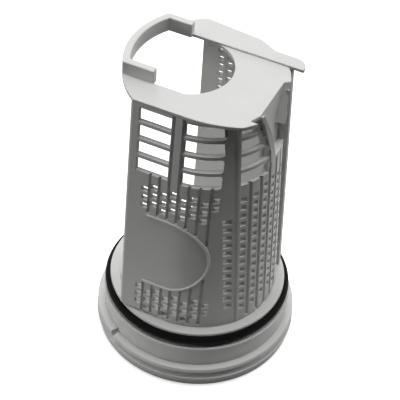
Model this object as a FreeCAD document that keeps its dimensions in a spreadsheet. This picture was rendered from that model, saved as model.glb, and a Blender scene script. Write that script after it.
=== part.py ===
import FreeCAD, Part
import math
import os

import Sketcher

# Washer pump filter: a strainer basket that swivels on a screw cap with a sealing ring.
# The axis of the cap is Z, the cap's grip face lies on Z = 0, and the basket stands on the cap.
# +X is the side of the key recess, +Y the side of the flat back wall. All sizes are in mm.

SIZES = {
    # screw cap
    "rim_radius": 31.6,
    "rim_height": 4.9,
    "rim_bevel": 0.6,
    "band_radius": 30.3,
    "cam_radius": 32.0,
    "cam_base": 5.8,
    "cam_thick": 1.6,
    "cam_rise": 1.0,
    "cam_root_radius": 28.4,
    "cam_step_deg": -120.0,
    "band_top": 15.4,
    "disc_radius": 28.6,
    "disc_edge": 0.9,
    "disc_bevel": 0.35,
    "recess_radius": 26.5,
    "recess_depth": 11.0,
    "hub_recess_radius": 22.5,
    "roof_thick": 2.5,
    "grip_width": 7.0,
    "grip_inset": 0.6,
    "grip_draft_deg": 3.0,
    # sealing ring
    "seal_cord_radius": 1.85,
    "seal_flats": 8,
    "seal_bed_radius": 26.0,
    "seal_clearance": 0.05,
    # swivel: snap spigot of the cap in the floor of the basket
    "spigot_radius": 7.0,
    "spigot_bore_radius": 4.2,
    "spigot_slit": 1.4,
    "swivel_clearance": 0.08,
    "foot_gap": 0.2,
    "head_gap": 0.3,
    "head_lip": 1.2,
    "head_tall": 2.4,
    # strainer basket
    "basket_height": 80.4,
    "foot_radius": 25.0,
    "crown_radius": 21.2,
    "wall_thick": 1.5,
    "floor_thick": 2.2,
    "floor_radius": 23.8,
    "relief_tall": 0.8,
    "relief_deep": 0.9,
    "relief_half_deg": 13.0,
    "relief_middle_deg": -5.0,
    "front_run": 14.3,
    "wall_turn_deg": 140.0,
    "back_offset": 13.2,
    "back_run": 8.9,
    "fin_reach_foot": 22.9,
    "fin_reach_top": 19.8,
    # end plate
    "plate_thick": 1.2,
    "plate_radius": 25.7,
    "lip_radius": 24.9,
    "lip_start_deg": -45.4,
    "lip_start": 2.0,
    "lip_tip_deg": -34.5,
    "notch_depth": 2.3,
    "notch_end_deg": -27.7,
    "ear_radius": 23.0,
    "ear_tall": 16.5,
    # debris mouth in the plate and the hoop that closes it
    "mouth_radius": 13.3,
    "mouth_shift": 7.6,
    "mouth_rise": 0.4,
    "mouth_front": 12.1,
    "mouth_back": 13.1,
    "hoop_height": 4.2,
    "hoop_sink": 0.6,
    "hoop_wall": 2.3,
    "hoop_front": 12.5,
    "hoop_back": 14.7,
    "hoop_gap": 12.6,
    # raised flange behind the mouth
    "flange_step": 0.5,
    "flange_thick": 1.1,
    "flange_radius": 25.1,
    "flange_depth": 22.4,
    "flange_waist": 17.7,
    "flange_waist_start": 12.3,
    "flange_slope_start": 6.4,
    "flange_reach": 22.8,
    "flange_corner": 4.0,
    # key recess
    "key_flat": 19.7,
    "key_mouth_low": -9.6,
    "key_mouth_high": 6.0,
    "key_land_radius": 22.4,
    "key_wall": 1.5,
    "key_throat": -1.6,
    "key_bend": -5.2,
    "key_bend_depth": 9.8,
    "key_cheek": 2.4,
    "key_depth": 20.5,
    "key_trim_deg": 60.0,
    "ramp_depth": 11.0,
    "ramp_reach": 2.3,
    "ramp_rise": 10.6,
    "ramp_run": 8.0,
    "ramp_shift": 4.4,
    "ramp_root": 0.05,
    # windows
    "window_tall": 4.8,
    "window_rung": 1.1,
    "window_drop": 1.0,
    "window_rows": 4,
    "window_bevel": 0.45,
    "bay_one_start": -12.45,
    "bay_one_end": -2.3,
    "bay_two_start": 1.85,
    "bay_two_end": 12.9,
    "bay_three_start": -14.4,
    "bay_three_end": -4.9,
    # upright rib at the front corner
    "rib_start": -15.3,
    "rib_end": -14.5,
    "rib_proud": 0.4,
    # strainer slots
    "slot_wide": 2.0,
    "slot_tall": 1.9,
    "slot_pitch": 3.14,
    "front_first": -9.2,
    "front_pitch": 3.05,
    "front_columns": 8,
    "front_upper_drop": 29.05,
    "front_upper_rows": 3,
    "front_lower_drop": 69.7,
    "front_lower_rows": 3,
    "side_first": -13.35,
    "side_pitch": 3.75,
    "side_columns": 6,
    "side_drop": 28.8,
    "side_rows": 15,
    "side_slot_wide": 1.7,
    "corner_column": -17.1,
    "corner_drop": 37.8,
    "corner_rows": 12,
    "back_first": -3.0,
    "back_pitch": 2.8,
    "back_columns": 5,
    "back_drop": 2.1,
    "back_rows": 9,
    "back_slot_pitch": 2.75,
    "back_slot_wide": 1.7,
    "back_slot_tall": 1.5,
    "groove_wide": 0.9,
    "side_groove_wide": 1.2,
    "groove_deep": 0.7,
    # smooth pad with its bead
    "pad_radius": 13.65,
    "pad_height": 26.73,
    "pad_centre": -1.35,
    "pad_run": 8.0,
    "bead_wide": 0.8,
    "bead_proud": 0.5,
}

document = FreeCAD.newDocument("washer_pump_filter")
sheet = document.addObject("Spreadsheet::Sheet", "sizes")
sheet.Label = "sizes"
for row, (alias, value) in enumerate(SIZES.items(), start=1):
    sheet.set("A%d" % row, alias)
    sheet.set("B%d" % row, str(value))
    sheet.setAlias("B%d" % row, alias)
document.recompute()


def size(alias):
    """Value of one size, read back from the sheet."""
    return float(sheet.get(alias))


def vec(x, y, z=0.0):
    """Short name for a vector."""
    return FreeCAD.Vector(x, y, z)


def polar(radius, degrees):
    """Point on a circle about the axis."""
    angle = math.radians(degrees)
    return vec(radius * math.cos(angle), radius * math.sin(angle))


def new_body(label):
    """A part body with its own label."""
    body = document.addObject("PartDesign::Body", label)
    body.Label = label
    return body


def new_sketch(body, role, name, height=None):
    """Sketch on one of the body's origin planes, moved along its normal by a sheet expression."""
    plane = next(item for item in body.Origin.OriginFeatures if item.Role == role)
    sketch = body.newObject("Sketcher::SketchObject", name)
    sketch.AttachmentSupport = [(plane, "")]
    sketch.MapMode = "FlatFace"
    if height is not None:
        sketch.setExpression("AttachmentOffset.Base.z", height)
    return sketch


def add_chain(sketch, edges):
    """Closed outlines from line and arc pieces, added in one go."""
    sketch.addGeometry(edges, False)


def line(start, end):
    """Straight piece of an outline."""
    return Part.LineSegment(start, end)


def arc(start, middle, end):
    """Round piece of an outline through three points."""
    return Part.Arc(start, middle, end)


def polygon(points):
    """Straight pieces of a closed outline."""
    ring = points + points[:1]
    return [line(a, b) for a, b in zip(ring, ring[1:])]


def add_polygon(sketch, points):
    """Closed outline of straight pieces."""
    add_chain(sketch, polygon(points))


def rectangle(low, high):
    """Pieces of an upright rectangle between two corners."""
    return polygon([low, vec(high.x, low.y), high, vec(low.x, high.y)])


def add_rectangle(sketch, low, high):
    """Upright rectangle between two corners."""
    add_chain(sketch, rectangle(low, high))


def bevelled_rectangle(low, high, bevel):
    """Pieces of an upright rectangle with bevelled corners."""
    return polygon([
        vec(low.x + bevel, low.y), vec(high.x - bevel, low.y),
        vec(high.x, low.y + bevel), vec(high.x, high.y - bevel),
        vec(high.x - bevel, high.y), vec(low.x + bevel, high.y),
        vec(low.x, high.y - bevel), vec(low.x, low.y + bevel),
    ])


def add_circle(sketch, radius):
    """Full circle about the axis."""
    sketch.addGeometry(Part.Circle(vec(0, 0), vec(0, 0, 1), radius), False)


def pad(body, sketch, name, length, backwards=False):
    """Pad whose length is an expression of the sheet."""
    feature = body.newObject("PartDesign::Pad", name)
    feature.Profile = sketch
    feature.setExpression("Length", length)
    feature.Reversed = backwards
    feature.Refine = False
    return feature


def cut(body, sketch, name, backwards=False, length=None):
    """Pocket, through everything on one side unless a length is given."""
    feature = body.newObject("PartDesign::Pocket", name)
    feature.Profile = sketch
    if length is None:
        feature.Type = "ThroughAll"
    else:
        feature.setExpression("Length", length)
    feature.Reversed = backwards
    feature.Refine = False
    return feature


def turn(body, sketch, name, kind="PartDesign::Revolution"):
    """Turned feature about the sketch's upright axis."""
    feature = body.newObject(kind, name)
    feature.Profile = sketch
    feature.ReferenceAxis = (sketch, ["V_Axis"])
    feature.Angle = 360.0
    feature.Refine = False
    return feature


def loft(body, low, high, name):
    """Ruled loft between two sketches."""
    feature = body.newObject("PartDesign::AdditiveLoft", name)
    feature.Profile = low
    feature.Sections = [high]
    feature.Ruled = True
    feature.Refine = False
    return feature


def join(body, tool, name, kind):
    """Fuses a tool body with a body or cuts it away."""
    feature = body.newObject("PartDesign::Boolean", name)
    feature.setObjects([tool])
    feature.Type = kind
    feature.Refine = False
    return feature


# Heights that several features share.
CAP_TOP = "sizes.band_top + 2 * (sizes.seal_cord_radius + sizes.seal_clearance) + sizes.disc_edge"
FOOT = CAP_TOP + " + sizes.foot_gap"
PLATE_TOP = CAP_TOP + " + sizes.basket_height"
PLATE_LOW = PLATE_TOP + " - sizes.plate_thick"

groove_tall = 2 * (size("seal_cord_radius") + size("seal_clearance"))
cap_top = size("band_top") + groove_tall + size("disc_edge")
foot = cap_top + size("foot_gap")
plate_top = cap_top + size("basket_height")
plate_low = plate_top - size("plate_thick")
back_in = size("back_offset")
back_out = back_in + size("wall_thick")
wall_low = foot + size("relief_tall")


# Screw cap: turned shell, two ramped cams, grip bar in the recess and a snap spigot.
cap = new_body("screw_cap")
profile = new_sketch(cap, "XZ_Plane", "cap_profile")
rim, rim_top, rim_bevel = size("rim_radius"), size("rim_height"), size("rim_bevel")
band, band_top, bed = size("band_radius"), size("band_top"), size("seal_bed_radius")
disc, disc_bevel = size("disc_radius"), size("disc_bevel")
recess, recess_top, hub = size("recess_radius"), size("recess_depth"), size("hub_recess_radius")
roof = cap_top - size("roof_thick")
add_polygon(profile, [
    vec(recess, 0), vec(rim - rim_bevel, 0), vec(rim, rim_bevel),
    vec(rim, rim_top - rim_bevel), vec(rim - rim_bevel, rim_top), vec(band, rim_top),
    vec(band, band_top), vec(bed, band_top), vec(bed, band_top + groove_tall),
    vec(disc, band_top + groove_tall), vec(disc, cap_top - disc_bevel), vec(disc - disc_bevel, cap_top),
    vec(0, cap_top), vec(0, roof), vec(hub, roof), vec(hub, recess_top), vec(recess, recess_top),
])
turn(cap, profile, "cap_shell")

# Grip bar across the recess, thicker towards the roof so that it leaves its mould.
grip = new_sketch(cap, "XY_Plane", "grip_outline", "sizes.grip_inset")
half_grip = size("grip_width") / 2.0
grip_end = recess - size("wall_thick") / 2.0
add_rectangle(grip, vec(-grip_end, -half_grip), vec(grip_end, half_grip))
grip_bar = pad(cap, grip, "grip_bar", CAP_TOP + " - sizes.grip_inset - sizes.roof_thick / 2")
grip_bar.setExpression("TaperAngle", "sizes.grip_draft_deg")
# Two cams round the band: each climbs through half a turn and meets the next one in a step.
cam_body = new_body("cam_tool")
cam_side = new_sketch(cam_body, "XZ_Plane", "cam_side_outline")
cam_side.AttachmentOffset = FreeCAD.Placement(
    vec(0, 0), FreeCAD.Rotation(vec(0, 1, 0), size("cam_step_deg")))
cam_out, cam_span = size("cam_radius"), size("cam_radius") + size("cam_thick")
climb = size("cam_rise") * cam_span / cam_out / 2
cam_middle = size("cam_base") + size("cam_rise") / 2
add_polygon(cam_side, [
    vec(cam_span, cam_middle - climb), vec(-cam_span, cam_middle + climb),
    vec(-cam_span, cam_middle + climb + size("cam_thick")),
    vec(cam_span, cam_middle - climb + size("cam_thick")),
])
cam_half = pad(cam_body, cam_side, "cam_half", "sizes.cam_radius + sizes.cam_thick", backwards=True)
cam_pair = cam_body.newObject("PartDesign::PolarPattern", "cam_pair")
cam_pair.Originals = [cam_half]
cam_pair.Axis = (cam_side, ["V_Axis"])
cam_pair.Angle = 360
cam_pair.Occurrences = 2
cam_pair.Refine = False
cam_body.Tip = cam_pair
document.recompute()
cam_trim = new_sketch(cam_body, "XY_Plane", "cam_trim_outline")
add_rectangle(cam_trim, vec(-2 * cam_span, -2 * cam_span), vec(2 * cam_span, 2 * cam_span))
add_circle(cam_trim, cam_out)
add_circle(cam_trim, size("cam_root_radius"))
cut(cam_body, cam_trim, "cam_trim", backwards=True)
document.recompute()
join(cap, cam_body, "cams", "Fuse")

# Snap spigot on the cap: a slit tube whose lip holds the floor of the basket.
spigot_profile = new_sketch(cap, "XZ_Plane", "spigot_profile")
spigot = size("spigot_radius")
spigot_bore = size("spigot_bore_radius")
head_low = foot + size("floor_thick") + size("head_gap")
head_high = head_low + size("head_tall")
head_edge = head_low + size("head_tall") / 3
add_polygon(spigot_profile, [
    vec(spigot_bore, roof), vec(spigot, roof),
    vec(spigot, head_low),
    vec(spigot + size("head_lip"), head_low),
    vec(spigot + size("head_lip"), head_edge),
    vec(spigot - disc_bevel, head_high),
    vec(spigot_bore, head_high),
])
turn(cap, spigot_profile, "snap_spigot")
slits = new_sketch(cap, "XY_Plane", "slit_outline", CAP_TOP)
slit = size("spigot_slit") / 2
arm = spigot + 2 * size("head_lip")
add_polygon(slits, [
    vec(-arm, -slit), vec(-slit, -slit), vec(-slit, -arm), vec(slit, -arm), vec(slit, -slit), vec(arm, -slit),
    vec(arm, slit), vec(slit, slit), vec(slit, arm), vec(-slit, arm), vec(-slit, slit), vec(-arm, slit),
])
cut(cap, slits, "spigot_slits", backwards=True)
document.recompute()

# Sealing ring in its groove: a round cord, turned from a section of short flats.
seal = new_body("seal_ring")
cord = size("seal_cord_radius")
cord_middle = vec(bed + size("seal_clearance") + cord, band_top + size("seal_clearance") + cord)
flats = int(size("seal_flats"))
cord_profile = new_sketch(seal, "XZ_Plane", "cord_profile")
add_polygon(cord_profile, [cord_middle + polar(cord, 360 * index / flats) for index in range(flats)])
turn(seal, cord_profile, "cord")


def wall_skin(body, name, outside, inside):
    """Drafted shell between two offsets of the outer wall surface: a flat run, then a round side."""
    foot_out, foot_in = size("foot_radius") + outside, size("foot_radius") - inside
    top_out, top_in = size("crown_radius") + outside, size("crown_radius") - inside
    section = [
        vec(-foot_out, wall_low), vec(-foot_in, wall_low),
        vec(-top_in, plate_low), vec(-top_out, plate_low),
    ]
    run = new_sketch(body, "YZ_Plane", name + "_run_outline")
    add_polygon(run, section)
    pad(body, run, name + "_run", "sizes.front_run", backwards=True)
    side = new_sketch(body, "YZ_Plane", name + "_side_profile")
    add_polygon(side, section)
    feature = turn(body, side, name + "_side")
    feature.setExpression("Angle", "sizes.wall_turn_deg")


def window_levels():
    """Lower and upper height of each row of windows."""
    step = size("window_tall") + size("window_rung")
    for row in range(int(size("window_rows"))):
        high = plate_low - size("window_drop") - step * row
        yield high - size("window_tall"), high


# Strainer basket: the drafted wall comes first.
basket = new_body("strainer_basket")
wall_skin(basket, "wall", 0.0, size("wall_thick"))
edge_low = new_sketch(basket, "XY_Plane", "edge_foot", FOOT + " + sizes.relief_tall")
edge_high = new_sketch(basket, "XY_Plane", "edge_crown", PLATE_LOW)
half_wall = size("wall_thick") / 2
for sketch, face in ((edge_low, size("foot_radius")), (edge_high, size("crown_radius"))):
    edge = -size("front_run")
    add_chain(sketch, [
        arc(vec(edge, half_wall * 2 - face), vec(edge - half_wall, half_wall - face), vec(edge, -face)),
        line(vec(edge, -face), vec(edge + half_wall, -face)),
        line(vec(edge + half_wall, -face), vec(edge + half_wall, half_wall * 2 - face)),
        line(vec(edge + half_wall, half_wall * 2 - face), vec(edge, half_wall * 2 - face)),
    ])
loft(basket, edge_low, edge_high, "round_edge")
spare = new_sketch(basket, "XZ_Plane", "back_trim_outline", "-sizes.back_offset - sizes.wall_thick")
add_rectangle(spare, vec(0, 0), vec(2 * size("foot_radius"), plate_top))
cut(basket, spare, "back_trim")

# Bead round the smooth pad and rib at the corner, raised evenly from the drafted wall.
far = 2 * size("plate_radius")
pad_x, pad_left = size("pad_centre"), -size("pad_run")
pad_middle = foot + size("pad_height")


def relief_tool(label, plane, outside, inside, islands):
    """Shell that follows the wall, kept only inside the islands drawn on one plane."""
    body = new_body(label)
    wall_skin(body, label, outside, inside)
    keep = new_sketch(body, plane, label + "_keep_outline")
    add_rectangle(keep, vec(-far, -far), vec(far, plate_top + far))
    for island in islands:
        add_chain(keep, island)
    cut(body, keep, label + "_keep").Midplane = True
    return body


outer, inner = size("pad_radius"), size("pad_radius") - size("bead_wide")
bead = [
    line(vec(pad_left, pad_middle + outer), vec(pad_x, pad_middle + outer)),
    arc(vec(pad_x, pad_middle + outer), vec(pad_x + outer, pad_middle), vec(pad_x, pad_middle - outer)),
    line(vec(pad_x, pad_middle - outer), vec(pad_left, pad_middle - outer)),
    line(vec(pad_left, pad_middle - outer), vec(pad_left, pad_middle - inner)),
    line(vec(pad_left, pad_middle - inner), vec(pad_x, pad_middle - inner)),
    arc(vec(pad_x, pad_middle - inner), vec(pad_x + inner, pad_middle), vec(pad_x, pad_middle + inner)),
    line(vec(pad_x, pad_middle + inner), vec(pad_left, pad_middle + inner)),
    line(vec(pad_left, pad_middle + inner), vec(pad_left, pad_middle + outer)),
]
rib = rectangle(vec(size("rib_start"), 0), vec(size("rib_end"), plate_top))
bead_tool = relief_tool("bead_tool", "XZ_Plane", size("bead_proud"), size("bead_proud"), [bead])
rib_tool = relief_tool("rib_tool", "YZ_Plane", size("rib_proud"), size("rib_proud"), [rib])

# Upright grooves between the columns of slots, cut evenly deep into the drafted wall.
front_first, front_pitch, front_columns = size("front_first"), size("front_pitch"), size("front_columns")
side_first, side_pitch, side_columns = size("side_first"), size("side_pitch"), size("side_columns")
groove, margin = size("groove_wide") / 2, size("bead_wide") / 2
side_groove = size("side_groove_wide") / 2
sill = min(low for low, high in window_levels())
front_grooves = []
for index in range(int(front_columns) - 1):
    middle = front_first + (index + 0.5) * front_pitch
    swing = max(middle + groove - pad_x, 0.0)
    clear = math.sqrt(size("pad_radius") ** 2 - swing ** 2) + margin
    between_bays = size("bay_one_end") < middle < size("bay_two_start")
    groove_top = plate_low if between_bays else sill
    front_grooves += [
        rectangle(vec(middle - groove, pad_middle + clear), vec(middle + groove, groove_top)),
        rectangle(vec(middle - groove, 0), vec(middle + groove, pad_middle - clear)),
    ]
side_grooves = []
for index in range(int(side_columns) - 1):
    middle = side_first + (index + 0.5) * side_pitch
    side_grooves.append(rectangle(vec(middle - side_groove, 0), vec(middle + side_groove, sill)))
deep = size("groove_deep")
front_tool = relief_tool("front_groove_tool", "XZ_Plane", deep, deep, front_grooves)
side_tool = relief_tool("side_groove_tool", "YZ_Plane", deep, deep, side_grooves)
document.recompute()

join(basket, front_tool, "front_grooves", "Cut")
join(basket, side_tool, "side_grooves", "Cut")
join(basket, bead_tool, "pad_bead", "Fuse")
join(basket, rib_tool, "corner_rib", "Fuse")
document.recompute()

# Windows of the side bay.
side_windows = new_sketch(basket, "YZ_Plane", "side_window_outline")
bay_three = []
for low, high in window_levels():
    bay_three += rectangle(vec(size("bay_three_start"), low), vec(size("bay_three_end"), high))
add_chain(side_windows, bay_three)
cut(basket, side_windows, "side_windows", backwards=True)

# Key recess: a block on the wall, trimmed round, then hollowed down to its flat back face.
key_floor = plate_top - size("key_depth")
key_bend_height = plate_top - size("key_bend_depth")
throat, bend, mouth_low = size("key_throat"), size("key_bend"), size("key_mouth_low")
mouth_high, cheek = size("key_mouth_high"), size("key_cheek")
key_block = new_sketch(basket, "YZ_Plane", "key_block_outline", "sizes.key_flat - sizes.key_wall")
add_polygon(key_block, [
    vec(throat - cheek, key_floor - size("key_wall")),
    vec(mouth_high + cheek, key_floor - size("key_wall")),
    vec(mouth_high + cheek, plate_low),
    vec(mouth_low - cheek / 2, plate_low),
    vec(bend - cheek / 2, key_bend_height),
    vec(throat - cheek, key_floor),
])
pad(basket, key_block, "key_block", "sizes.plate_radius - sizes.key_flat + sizes.key_wall")
trim = new_sketch(basket, "XZ_Plane", "key_trim_profile")
add_rectangle(trim, vec(size("key_land_radius"), key_floor - cheek), vec(2 * size("plate_radius"), plate_top))
trimmed = turn(basket, trim, "key_trim", "PartDesign::Groove")
trimmed.Midplane = True
trimmed.setExpression("Angle", "sizes.key_trim_deg")
key_hollow = new_sketch(basket, "YZ_Plane", "key_hollow_outline", "sizes.key_flat")
add_polygon(key_hollow, [
    vec(throat, key_floor), vec(mouth_high, key_floor), vec(mouth_high, plate_top),
    vec(mouth_low, plate_top), vec(bend, key_bend_height),
])
cut(basket, key_hollow, "key_hollow", backwards=True)

# Ear beside the key recess, with a ramp that leads into the recess.
ear_out = size("ear_radius")
ear_mouth = math.degrees(math.asin((mouth_high + size("wall_thick")) / ear_out))
ear_back = math.degrees(math.asin(back_in / ear_out))
ear = new_sketch(basket, "XY_Plane", "ear_outline", PLATE_TOP)
key_inner = size("key_flat") - size("key_wall")
add_chain(ear, [
    line(vec(key_inner, mouth_high), vec(size("key_flat"), mouth_high)),
    line(vec(size("key_flat"), mouth_high), polar(ear_out, ear_mouth)),
    arc(polar(ear_out, ear_mouth), polar(ear_out, (ear_mouth + ear_back) / 2), polar(ear_out, ear_back)),
    line(polar(ear_out, ear_back), vec(key_inner - size("ramp_reach"), back_in)),
    line(vec(key_inner - size("ramp_reach"), back_in), vec(key_inner, mouth_high)),
])
pad(basket, ear, "ear", "sizes.ear_tall", backwards=True)
ramp_low = plate_top - size("ramp_depth")
ramp_high = ramp_low + size("ramp_rise")
ramp_near = new_sketch(basket, "YZ_Plane", "ramp_near_outline", "sizes.key_flat - sizes.ramp_root")
add_polygon(ramp_near, [
    vec(mouth_high - size("ramp_run"), ramp_low), vec(mouth_high, ramp_low), vec(mouth_high, ramp_high)])
ramp_far = new_sketch(basket, "YZ_Plane", "ramp_far_outline", "sizes.key_flat + sizes.ramp_reach")
far_share = 1 - size("ramp_shift") / size("ramp_run")
add_polygon(ramp_far, [
    vec(mouth_high - far_share * size("ramp_run"), ramp_low), vec(mouth_high, ramp_low),
    vec(mouth_high, ramp_low + far_share * size("ramp_rise"))])
loft(basket, ramp_near, ramp_far, "ramp")

# Foot disc and floor with the bore for the spigot.
foot_disc = new_sketch(basket, "XY_Plane", "foot_outline", FOOT)
add_circle(foot_disc, size("foot_radius"))
pad(basket, foot_disc, "foot_disc", "sizes.relief_tall")
floor = new_sketch(basket, "XY_Plane", "floor_outline", FOOT)
add_circle(floor, size("floor_radius"))
pad(basket, floor, "floor", "sizes.floor_thick")
bore = new_sketch(basket, "XY_Plane", "bore_outline", FOOT)
add_circle(bore, spigot + size("swivel_clearance"))
cut(basket, bore, "spigot_bore", backwards=True, length="2 * sizes.floor_thick")
relief = new_sketch(basket, "XY_Plane", "foot_relief_outline", FOOT)
relief_in = size("foot_radius") - size("relief_deep")
relief_out = size("foot_radius") + size("relief_deep")
relief_start = size("relief_middle_deg") - size("relief_half_deg")
relief_end = size("relief_middle_deg") + size("relief_half_deg")
add_chain(relief, [
    arc(polar(relief_in, relief_start), polar(relief_in, size("relief_middle_deg")),
        polar(relief_in, relief_end)),
    line(polar(relief_in, relief_end), polar(relief_out, relief_end)),
    arc(polar(relief_out, relief_end), polar(relief_out, size("relief_middle_deg")),
        polar(relief_out, relief_start)),
    line(polar(relief_out, relief_start), polar(relief_in, relief_start)),
])
cut(basket, relief, "foot_relief", backwards=True, length="sizes.relief_tall")

# Flat back wall, run out past the round wall as a fin.
back = new_sketch(basket, "XZ_Plane", "back_wall_outline", "-sizes.back_offset")
add_polygon(back, [
    vec(-size("back_run"), wall_low), vec(size("fin_reach_foot"), wall_low),
    vec(size("fin_reach_top"), plate_low), vec(-size("back_run"), plate_low),
])
pad(basket, back, "back_wall", "sizes.wall_thick", backwards=True)

# End plate with the debris mouth, the grip lip, the notch and the key's flat edge.
plate_out, crown = size("plate_radius"), size("crown_radius")
mouth, shift, rise = size("mouth_radius"), size("mouth_shift"), size("mouth_rise")
mouth_front, mouth_back = size("mouth_front"), size("mouth_back")
mouth_back_x = math.sqrt(mouth ** 2 - (mouth_back - rise) ** 2) - shift
mouth_front_x = math.sqrt(mouth ** 2 - (mouth_front + rise) ** 2) - shift
plate_corner = -math.sqrt(plate_out ** 2 - crown ** 2)
plate_end = -math.sqrt(plate_out ** 2 - mouth_front ** 2)
plate_middle = (math.degrees(math.atan2(-crown, plate_corner))
                + math.degrees(math.atan2(-mouth_front, plate_end))) / 2
lip_low = polar(size("lip_radius"), size("lip_start_deg"))
lip_tip = polar(size("lip_radius"), size("lip_tip_deg"))
lip_middle = polar(size("lip_radius"), (size("lip_start_deg") + size("lip_tip_deg")) / 2)
lip_sweep = vec((size("lip_start") + lip_low.x) / 2, -crown + (crown + lip_low.y) / 4)
notch_tip = vec(lip_tip.x - size("notch_depth"), lip_tip.y)
notch_end = polar(size("key_land_radius"), size("notch_end_deg"))
plate = new_sketch(basket, "XY_Plane", "plate_outline", PLATE_LOW)
add_chain(plate, [
    arc(vec(plate_end, -mouth_front), polar(plate_out, plate_middle), vec(plate_corner, -crown)),
    line(vec(plate_corner, -crown), vec(size("lip_start"), -crown)),
    arc(vec(size("lip_start"), -crown), lip_sweep, lip_low),
    arc(lip_low, lip_middle, lip_tip),
    line(lip_tip, notch_tip),
    line(notch_tip, notch_end),
    line(notch_end, vec(size("key_flat"), mouth_low)),
    line(vec(size("key_flat"), mouth_low), vec(size("key_flat"), mouth_high)),
    line(vec(size("key_flat"), mouth_high), polar(ear_out, ear_mouth)),
    arc(polar(ear_out, ear_mouth), polar(ear_out, (ear_mouth + ear_back) / 2), polar(ear_out, ear_back)),
    line(polar(ear_out, ear_back), vec(polar(ear_out, ear_back).x, back_out)),
    line(vec(polar(ear_out, ear_back).x, back_out), vec(-size("back_run"), back_out)),
    line(vec(-size("back_run"), back_out), vec(-size("back_run"), mouth_back)),
    line(vec(-size("back_run"), mouth_back), vec(mouth_back_x, mouth_back)),
    arc(vec(mouth_back_x, mouth_back), vec(mouth - shift, rise), vec(mouth_front_x, -mouth_front)),
    line(vec(mouth_front_x, -mouth_front), vec(plate_end, -mouth_front)),
])
pad(basket, plate, "end_plate", "sizes.plate_thick")

# Raised flange behind the mouth.
flange_out, depth, waist = size("flange_radius"), size("flange_depth"), size("flange_waist")
flange_end = -math.sqrt(flange_out ** 2 - mouth_back ** 2)
flange_turn = -math.sqrt(flange_out ** 2 - depth ** 2)
flange_middle = (math.degrees(math.atan2(depth, flange_turn))
                 + math.degrees(math.atan2(mouth_back, flange_end))) / 2
reach, corner = size("flange_reach"), size("flange_corner")
corner_bend = corner * (1 - math.sqrt(0.5))
flange = new_sketch(basket, "XY_Plane", "flange_outline", PLATE_TOP + " - sizes.flange_step")
add_chain(flange, [
    line(vec(flange_end, mouth_back), vec(reach, mouth_back)),
    line(vec(reach, mouth_back), vec(reach, waist - corner)),
    arc(vec(reach, waist - corner), vec(reach - corner_bend, waist - corner_bend),
        vec(reach - corner, waist)),
    line(vec(reach - corner, waist), vec(size("flange_waist_start"), waist)),
    line(vec(size("flange_waist_start"), waist), vec(size("flange_slope_start"), waist + corner)),
    line(vec(size("flange_slope_start"), waist + corner), vec(flange_turn, depth)),
    arc(vec(flange_turn, depth), polar(flange_out, flange_middle), vec(flange_end, mouth_back)),
])
pad(basket, flange, "flange", "sizes.flange_thick")

# Hoop that closes the open side of the mouth.
hoop_in = plate_out - size("hoop_wall")
front_bar, back_bar, gap = size("hoop_front"), size("hoop_back"), size("hoop_gap")
front_inner = front_bar - size("hoop_wall")
back_inner = back_bar - size("hoop_wall")
hoop = new_sketch(basket, "XY_Plane", "hoop_outline", PLATE_TOP + " - sizes.hoop_sink")
add_chain(hoop, [
    arc(vec(-math.sqrt(plate_out ** 2 - front_bar ** 2), -front_bar), vec(-plate_out, 0),
        vec(-math.sqrt(plate_out ** 2 - back_bar ** 2), back_bar)),
    line(vec(-math.sqrt(plate_out ** 2 - back_bar ** 2), back_bar), vec(-gap, back_bar)),
    line(vec(-gap, back_bar), vec(-gap, back_inner)),
    line(vec(-gap, back_inner), vec(-math.sqrt(hoop_in ** 2 - back_inner ** 2), back_inner)),
    arc(vec(-math.sqrt(hoop_in ** 2 - back_inner ** 2), back_inner), vec(-hoop_in, 0),
        vec(-math.sqrt(hoop_in ** 2 - front_inner ** 2), -front_inner)),
    line(vec(-math.sqrt(hoop_in ** 2 - front_inner ** 2), -front_inner), vec(-gap, -front_inner)),
    line(vec(-gap, -front_inner), vec(-gap, -front_bar)),
    line(vec(-gap, -front_bar), vec(-math.sqrt(plate_out ** 2 - front_bar ** 2), -front_bar)),
])
pad(basket, hoop, "hoop", "sizes.hoop_height + sizes.hoop_sink")
document.recompute()

# Front windows in two bays.
front_windows = new_sketch(basket, "XZ_Plane", "front_window_outline")
bays = []
for low, high in window_levels():
    bays += rectangle(vec(size("bay_one_start"), low), vec(size("bay_one_end"), high))
    bays += bevelled_rectangle(
        vec(size("bay_two_start"), low), vec(size("bay_two_end"), high), size("window_bevel"))
add_chain(front_windows, bays)
cut(basket, front_windows, "front_windows", backwards=True)


def slot_field(first, pitch, columns, drop, rows, lag, step, wide, tall):
    """Pieces of a field of strainer slots, hung below the top of the plate.

    Rows and lag are functions of the column's number: how many slots the column has, and by
    which share of a row it hangs lower.
    """
    edges = []
    for column in range(int(columns)):
        middle = first + column * pitch
        for row in range(rows(column)):
            height = plate_top - drop - (row + lag(column)) * step
            edges += rectangle(vec(middle - wide / 2, height - tall / 2),
                               vec(middle + wide / 2, height + tall / 2))
    return edges


def odd_lag(column):
    """Half a row lower in every odd column."""
    return (column % 2) / 2


def even_lag(column):
    """Half a row lower in every even column."""
    return 0.5 - odd_lag(column)


def pair_lag(column):
    """Half a row lower in every even pair of columns."""
    return even_lag(column // 2)


def all_rows(rows):
    """The same number of slots in every column."""
    return lambda column: int(rows)


def short_last(rows, columns):
    """One slot fewer in the last column, beside the corner."""
    return lambda column: int(rows) - int(column == int(columns) - 1)


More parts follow.
